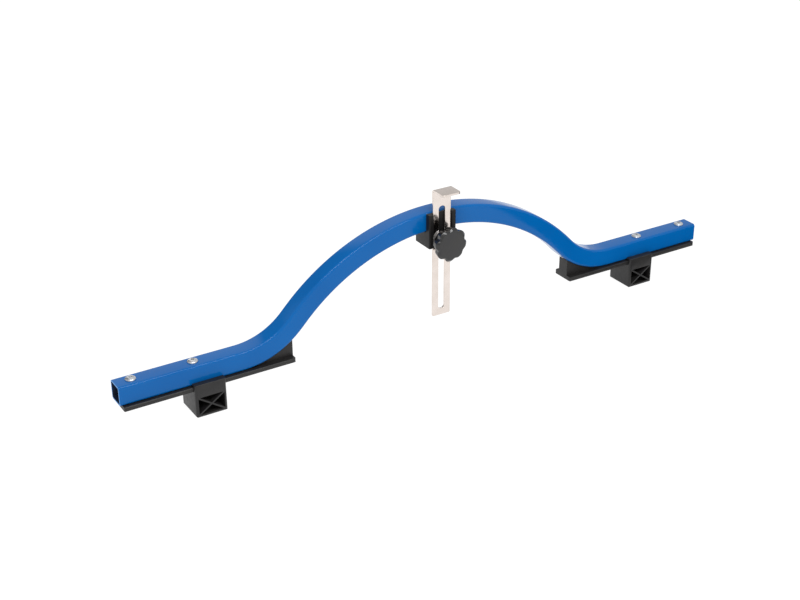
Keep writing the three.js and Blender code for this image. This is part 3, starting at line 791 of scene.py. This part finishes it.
def slot_outline(plate):
    """Outline of the slot in the flat blank."""
    radius = plate.slot_width / 2
    low = plate.slot_margin + radius
    high = plate.slot_margin + plate.slot_length - radius
    return [
        *arc_points((0, low), radius, 180, 360, SLOT_END_STEPS),
        *arc_points((0, high), radius, 0, 180, SLOT_END_STEPS),
    ]


def fold_of(plate):
    """The bend's outer and neutral radius, and how far up the blank it starts."""
    outer = plate.bend_radius + plate.thickness
    neutral = plate.bend_radius + plate.thickness / 2
    return outer, neutral, PLATE_HIGH.z - PLATE_LOW.z - outer


def folded(across, along, depth, fold):
    """Where a point of the blank goes once its upper end is bent forwards; depth is from the back."""
    outer, neutral, fold_start = fold
    back, bottom = PLATE_HIGH.y, PLATE_LOW.z
    past = along - fold_start
    if past <= 0:
        return Vector((across, back - depth, bottom + along))
    radius = outer - depth
    angle = min(past / neutral, math.pi / 2)
    beyond = max(past - neutral * math.pi / 2, 0)
    return Vector((
        across,
        back - outer + radius * math.cos(angle) - beyond,
        bottom + fold_start + radius * math.sin(angle),
    ))


def flat_blank(plate, fold):
    """The blank as one upright sheet with its slot, which has edges across it only where it folds."""
    outer, neutral, fold_start = fold
    bend = neutral * math.pi / 2
    tab = PLATE_HIGH.y - PLATE_LOW.y - outer
    outlines = [
        blank_outline(plate, PLATE_HIGH.x - PLATE_LOW.x, fold_start + bend + tab),
        slot_outline(plate),
    ]
    bm = bmesh.new()
    for outline in outlines:
        corners = [bm.verts.new((x, 0, z)) for x, z in outline]
        for index, corner in enumerate(corners):
            bm.edges.new((corner, corners[(index + 1) % len(corners)]))
    bmesh.ops.remove_doubles(bm, verts=bm.verts, dist=WELD)
    bmesh.ops.triangle_fill(bm, use_beauty=True, edges=bm.edges)
    cuts = [fold_start + bend * step / FOLD_STEPS for step in range(FOLD_STEPS + 1)]
    for cut in cuts:
        everything = [*bm.verts, *bm.edges, *bm.faces]
        bmesh.ops.bisect_plane(bm, geom=everything, plane_co=(0, 0, cut), plane_no=(0, 0, 1))
    spare = []
    for edge in bm.edges:
        on_cuts = all(any(abs(vert.co.z - cut) < WELD for cut in cuts) for vert in edge.verts)
        if not edge.is_boundary and not on_cuts:
            spare.append(edge)
    bmesh.ops.dissolve_limit(bm, angle_limit=FLAT, verts=[], edges=spare)
    return bm


class GAUGE_OT_plate(bpy.types.Operator):
    """Make the slotted indicator plate from a flat blank, and fold its tab"""

    bl_idname = "gauge.plate"
    bl_label = "Indicator Plate"

    def execute(self, context):
        plate = context.scene.gauge_plate
        fold = fold_of(plate)
        bm = flat_blank(plate, fold)
        extruded = bmesh.ops.extrude_face_region(bm, geom=bm.faces[:])["geom"]
        front = {vert for vert in extruded if isinstance(vert, bmesh.types.BMVert)}
        for vert in bm.verts:
            depth = plate.thickness if vert in front else 0
            vert.co = folded(vert.co.x, vert.co.z, depth, fold)
        piece = new_object("slotted_plate", mesh_of(bm, "slotted_plate"))
        piece.data.materials.append(finish_of("nickel_plated_strip"))
        smooth(piece)
        round_edges(piece, plate.edge_radius)
        hand_over(piece, "pointer", "nickel_plate", "indicator_plate")
        return {"FINISHED"}


# Knob


# Shares of the way out and of the way down over the grip's chamfer, which is soft at both ends
CHAMFER_SHARES = (
    (0.05, 0.01), (0.12, 0.06), (0.35, 0.29), (0.65, 0.59), (0.88, 0.82), (0.97, 0.93), (1, 1),
)
# Share of the lobes' height that already shows at the edge of the face
FACE_LOBE_SHARE = 0.45
# How steeply the face's edge fades into its middle
FACE_LOBE_POWER = 6
# Share of the chamfer's slope by which a lobe drops back
LOBE_DROP_SHARE = 0.2
# How far each rib reaches into the hub, so that the two join
RIB_OVERLAP = 0.5 * MM


def knob_profile(knob):
    """Rings from the face's middle round the rim and the hollow back to the foot of the hub.

    Each is a radius, a lobe height, a reach from the washer and a cone: how far the ring drops back
    for each unit that a lobe adds to its radius.
    """
    face_edge = KNOB_REACH - knob.dome_height
    widest = face_edge - knob.shoulder
    radius, lobe, edge = knob.radius, knob.lobe_height, knob.edge_radius
    flare = radius - knob.face_radius
    back = radius - knob.waist
    rings = []
    for step in range(1, KNOB_FACE_STEPS + 1):
        share = step / KNOB_FACE_STEPS
        rings.append((
            knob.face_radius * share,
            lobe * FACE_LOBE_SHARE * share ** FACE_LOBE_POWER,
            KNOB_REACH - knob.dome_height * share ** 2,
            0,
        ))
    for out, down in CHAMFER_SHARES:
        rings.append((
            knob.face_radius + flare * out,
            lobe * (FACE_LOBE_SHARE + (1 - FACE_LOBE_SHARE) * out),
            face_edge - knob.shoulder * down,
            LOBE_DROP_SHARE * knob.shoulder / flare * out,
        ))
    rings.append((radius, lobe, widest - knob.shoulder / 2, 0))
    for step in range(KNOB_ROUND_STEPS + 1):
        angle = math.pi / 2 * step / KNOB_ROUND_STEPS
        rings.append((
            back - edge + edge * math.cos(angle),
            lobe,
            knob.hub_length + edge - edge * math.sin(angle),
            0,
        ))
    hub = knob.hub_diameter / 2
    inner = back - knob.rim_wall
    floor = widest - knob.skin / 2
    fillet = knob.rim_wall / 4
    rings += [
        (inner, lobe, knob.hub_length, 0),
        (inner, lobe, floor - fillet, 0),
        (inner - fillet, lobe, floor, 0),
        (hub + fillet, 0, floor, 0),
        (hub, 0, floor - fillet, 0),
        (hub, 0, fillet, 0),
        (hub - fillet, 0, 0, 0),
    ]
    return rings


def lobed(knob, angle):
    """Share of the lobe height at an angle: broad lobes with narrow grooves between them."""
    groove = (1 - math.cos(knob.lobes * angle)) / 2
    return 1 - 2 * groove ** 2


def grip_shell(knob):
    """Grip and hub as one closed shell about +Z, with the foot of the hub at height 0."""
    sides = knob.lobes * SIDES_PER_LOBE
    bm = bmesh.new()
    loops = []
    for radius, lobe, reach, cone in knob_profile(knob):
        loop = []
        for side in range(sides):
            angle = 2 * math.pi * side / sides
            added = lobe * lobed(knob, angle)
            out = radius + added
            place = (out * math.cos(angle), out * math.sin(angle), reach - cone * added)
            loop.append(bm.verts.new(place))
        loops.append(loop)
    for first, second in zip(loops, loops[1:]):
        bridge(bm, first, second)
    top = bm.verts.new((0, 0, KNOB_REACH))
    for side in range(sides):
        bm.faces.new((top, loops[0][side], loops[0][(side + 1) % sides]))
    bm.faces.new(loops[-1])
    return mesh_of(bm, "star_grip")


def grip_ribs(knob):
    """Ribs from the hub to the rim, one behind each groove between two lobes."""
    start = knob.hub_diameter / 2 - RIB_OVERLAP
    end = knob.radius - knob.waist - knob.lobe_height - knob.rim_wall / 2
    half = knob.rib / 2
    outline = [(start, -half), (end, -half), (end, half), (start, half)]
    widest = KNOB_REACH - knob.dome_height - knob.shoulder
    rib = new_object(
        "rib", prism(outline, knob.hub_length + knob.rib_setback, widest - knob.skin / 4))
    step = 2 * math.pi / knob.lobes
    return copies("ribs", ring_tree(), [(0, 0, 0)] * knob.lobes, rib, {
        "Step": step, "Start": step / 2, "Material": finish_of("knob_nylon")})


class GAUGE_OT_knob(bpy.types.Operator):
    """Make the star knob with its hollow, ribbed back"""

    bl_idname = "gauge.knob"
    bl_label = "Star Knob"

    def execute(self, context):
        knob = context.scene.gauge_knob
        whole = joined(grip_shell(knob), grip_ribs(knob), "UNION")
        # The axis goes from +Z to -Y, towards the front, with the foot of the hub against the washer
        place = Matrix.Translation((0, KNOB_HIGH.y, KNOB_CENTRE_Z))
        forwards = place @ Matrix.Rotation(math.pi / 2, 4, "X")
        whole.transform(forwards @ Matrix.Rotation(knob.turn, 4, "Z"))
        bm = bmesh.new()
        bm.from_mesh(whole)
        piece = new_object("star_grip", mesh_of(bm, "star_grip"))
        piece.data.materials.clear()
        piece.data.materials.append(finish_of("knob_nylon"))
        smooth(piece, degrees=40)
        hand_over(piece, "clamp_knob", "black_nylon", "star_knob")
        return {"FINISHED"}


# Fasteners


# Height of the head's rim, and the chamfers under the head and at the tip
SCREW_RIM = 0.5 * MM
UNDER_HEAD = 0.15 * MM
TIP_CHAMFER = 0.6 * MM
# How far the recess's cutter stands over the dome, and what share of its width it keeps at the bottom
RECESS_OVERRUN = 1 * MM
RECESS_TAPER = 0.55


def screw_mesh(screw, length):
    """Domed screw with a cross recess; its head sits on height 0."""
    head, shank = screw.head_diameter / 2, screw.shank_diameter / 2
    dome = screw.head_height - SCREW_RIM
    profile = [(0, screw.head_height)]
    for step in range(1, SCREW_DOME_STEPS + 1):
        angle = math.pi / 2 * step / SCREW_DOME_STEPS
        profile.append((head * math.sin(angle), SCREW_RIM + dome * math.cos(angle)))
    profile += [
        (head, UNDER_HEAD), (head - UNDER_HEAD, 0), (shank, 0),
        (shank, -length + TIP_CHAMFER), (shank - TIP_CHAMFER, -length), (0, -length),
    ]
    half_span, half_width = screw.recess_span / 2, screw.recess_width / 2
    outline = []
    for quarter in range(4):
        turn = Matrix.Rotation(math.pi / 2 * quarter, 2)
        for corner in ((half_span, -half_width), (half_span, half_width), (half_width, half_width)):
            outline.append(tuple(turn @ Vector(corner)))
    recess = prism(
        outline, screw.head_height - screw.recess_depth, screw.head_height + RECESS_OVERRUN,
        taper=RECESS_TAPER)
    return joined(lathe(profile, SCREW_SIDES, "screw"), recess, "DIFFERENCE")


class GAUGE_OT_screws(bpy.types.Operator):
    """Make the four domed screws of the rails"""

    bl_idname = "gauge.screws"
    bl_label = "Rail Screws"

    def execute(self, context):
        screw = context.scene.gauge_screw
        boxes = [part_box(node) for node in RAIL_SCREWS]
        length = TAB_TOP - boxes[0][0].z
        single = new_object("screw", screw_mesh(screw, length))
        points = [((low.x + high.x) / 2, (low.y + high.y) / 2, TAB_TOP) for low, high in boxes]
        mesh = copies("domed_screws", scatter_tree(), points, single, {
            "Most Turn": screw.most_turn, "Seed": screw.seed, "Material": finish_of("bright_zinc")})
        piece = new_object("domed_screws", mesh)
        smooth(piece, degrees=35)
        round_edges(piece, screw.edge_radius, segments=2, degrees=50)
        hand_over(piece, "gauge_frame", "zinc_steel", *RAIL_SCREWS)
        return {"FINISHED"}


class GAUGE_OT_fasteners(bpy.types.Operator):
    """Finish the nuts, bracket screws, stud and washer, whose own shapes stay, in a zinc painted darker
    as shade
    """

    bl_idname = "gauge.fasteners"
    bl_label = "Nuts, Stud and Washer"

    def execute(self, context):
        for name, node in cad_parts.items():
            if name not in RAIL_SCREWS and name.endswith(("_nut", "_screw", "_stud", "_washer")):
                for slot in node.material_slots:
                    # The darker zinc is painted shade
                    slot.material = finish_of("aged_zinc")
        return {"FINISHED"}


# Stage


# The camera that was fitted to the photograph
CAMERA_PLACE = (-0.66002, -1.01949, 0.66099)
CAMERA_YAW = math.radians(31.157)
CAMERA_PITCH = math.radians(-26.865)
CAMERA_ROLL = math.radians(-0.436)
CAMERA_LENS = 62.71
CAMERA_SENSOR = 36

FLOOR_CORNERS = ((-4, -4), (4, -4), (4, 4), (-4, 4))
# A black card just over the floor, before the right half, keeps the floor's shine off the gauge there
CARD_CORNERS = ((0.2, -0.036), (0.235, -0.19), (0.32, -0.4), (1.2, -0.8), (1.2, -0.036))
CARD_HEIGHT = 2 * MM

# The softbox hangs over the front and faces the gauge
KEY_PLACE = (-0.15, -0.75, 1.2)
KEY_TARGET = (0, 0, 0.08)
KEY_SIZE = (1.1, 0.35)

# Places from the left (0) to the right (1) of the sky behind the gauge, with the sky's level at each
SKY_PANEL = (
    (0.22, 0.9), (0.29, 0.3), (0.46, 0.22), (0.52, 1.3), (0.6, 1.35), (0.66, 1.2), (0.75, 0.8),
    (0.81, 0.95),
)
# The panel fades in between these two slopes of the direction away from the front
PANEL_FADE = (0.1, 0.5)


def stage_sheet(name, corners, height, material):
    """A flat, level sheet."""
    bm = bmesh.new()
    bm.faces.new([bm.verts.new((x, y, height)) for x, y in corners])
    sheet = new_object(name, mesh_of(bm, name))
    sheet.data.materials.append(material)
    return sheet


def softbox(name, place, target, size, power):
    """A rectangular soft light that faces its target."""
    light = bpy.data.lights.new(name, "AREA")
    light.shape = "RECTANGLE"
    light.size, light.size_y = size
    light.energy = power
    lamp = bpy.data.objects.new(name, light)
    lamp.location = place
    lamp.rotation_euler = (Vector(target) - Vector(place)).to_track_quat("-Z", "Y").to_euler()
    bpy.context.scene.collection.objects.link(lamp)


def studio_sky(stage):
    """White studio, a little darker at the horizon, with a bright panel behind the gauge.

    Behind the gauge's left the studio is dim, so the top of the arch shines less there.
    The backdrop itself is even where it shows.
    """
    world = bpy.data.worlds.new("studio")
    world.use_nodes = True
    tree = world.node_tree
    background = next(node for node in tree.nodes if node.type == "BACKGROUND")
    background.inputs["Color"].default_value = from_hex("FFFFFF")
    direction = add_node(tree, "ShaderNodeTexCoord")
    axes = add_node(tree, "ShaderNodeSeparateXYZ", {"Vector": direction.outputs["Generated"]})
    height = spread(tree, axes.outputs["Z"], stage.horizon, stage.sky, start=0, end=1)
    across = spread(tree, axes.outputs["X"], 0, 1, start=-1, end=1)
    panel = add_node(tree, "ShaderNodeValToRGB", {"Fac": across})
    ramp = panel.color_ramp
    ramp.elements[0].position = SKY_PANEL[0][0]
    ramp.elements[1].position = SKY_PANEL[-1][0]
    for position, _ in SKY_PANEL[1:-1]:
        ramp.elements.new(position)
    for element, (_, level) in zip(ramp.elements, SKY_PANEL):
        element.color = (level, level, level, 1)
    behind = spread(tree, axes.outputs["Y"], 0, 1, *PANEL_FADE)
    shaped = spread(tree, behind, 1, panel.outputs["Color"], start=0, end=1)
    light = add_node(tree, "ShaderNodeMath", {0: height, 1: shaped}, operation="MULTIPLY")
    ray = add_node(tree, "ShaderNodeLightPath")
    seen = spread(
        tree, ray.outputs["Is Camera Ray"], light.outputs["Value"], stage.backdrop, start=0, end=1)
    tree.links.new(seen, background.inputs["Strength"])
    return world


def fitted_camera():
    """The camera at the photograph's viewing angle."""
    data = bpy.data.cameras.new("camera")
    data.sensor_width = CAMERA_SENSOR
    data.lens = CAMERA_LENS
    camera = bpy.data.objects.new("camera", data)
    upright = Matrix.Rotation(-CAMERA_YAW, 4, "Z") @ Matrix.Rotation(math.pi / 2 + CAMERA_PITCH, 4, "X")
    rolled = upright @ Matrix.Rotation(CAMERA_ROLL, 4, "Z")
    camera.matrix_world = Matrix.Translation(CAMERA_PLACE) @ rolled
    bpy.context.scene.collection.objects.link(camera)
    return camera


class GAUGE_OT_stage(bpy.types.Operator):
    """Make the floor, the lights and the camera"""

    bl_idname = "gauge.stage"
    bl_label = "Stage"

    def execute(self, context):
        scene = context.scene
        stage = scene.gauge_stage
        light_table, _, _ = new_material(
            "light_table", Base_Color=stage.floor, Roughness=0.9,
            Emission_Color=from_hex("FFFFFF"), Emission_Strength=stage.glow)
        floor = stage_sheet("floor", FLOOR_CORNERS, 0, light_table)
        black_velvet, _, _ = new_material(
            "black_velvet", Base_Color=stage.velvet, Roughness=1.0, Specular_IOR_Level=0.0)
        card = stage_sheet("black_card", CARD_CORNERS, CARD_HEIGHT, black_velvet)
        card.visible_camera = False
        card.visible_diffuse = False
        card.visible_shadow = False
        scene.world = studio_sky(stage)
        softbox("key", KEY_PLACE, KEY_TARGET, KEY_SIZE, stage.key_power)
        scene.camera = fitted_camera()
        scene.view_settings.view_transform = "Standard"
        return {"FINISHED"}


# Add-on


class GAUGE_PT_panel(bpy.types.Panel):
    """Buttons for each piece of the gauge"""

    bl_idname = "GAUGE_PT_panel"
    bl_label = "Wheel Dishing Gauge"
    bl_space_type = "VIEW_3D"
    bl_region_type = "UI"
    bl_category = "Gauge"

    def draw(self, context):
        for operator in OPERATORS:
            self.layout.operator(operator.bl_idname)


OPERATORS = [
    GAUGE_OT_stage,
    GAUGE_OT_tube,
    GAUGE_OT_rails,
    GAUGE_OT_blocks,
    GAUGE_OT_bracket,
    GAUGE_OT_plate,
    GAUGE_OT_knob,
    GAUGE_OT_screws,
    GAUGE_OT_fasteners,
]


CLASSES = [*SETTINGS.values(), *OPERATORS, GAUGE_PT_panel]


def register():
    """Registers the classes, then gives the scene its settings."""
    for kind in CLASSES:
        bpy.utils.register_class(kind)
    for name, settings in SETTINGS.items():
        setattr(bpy.types.Scene, name, bpy.props.PointerProperty(type=settings))


def unregister():
    """Takes back what register() did."""
    for name in SETTINGS:
        delattr(bpy.types.Scene, name)
    for kind in reversed(CLASSES):
        bpy.utils.unregister_class(kind)


def main():
    """Makes the stage and every piece."""
    register()
    for operator in OPERATORS:
        group, action = operator.bl_idname.split(".")
        getattr(getattr(bpy.ops, group), action)()


if __name__ == "__main__":
    main()
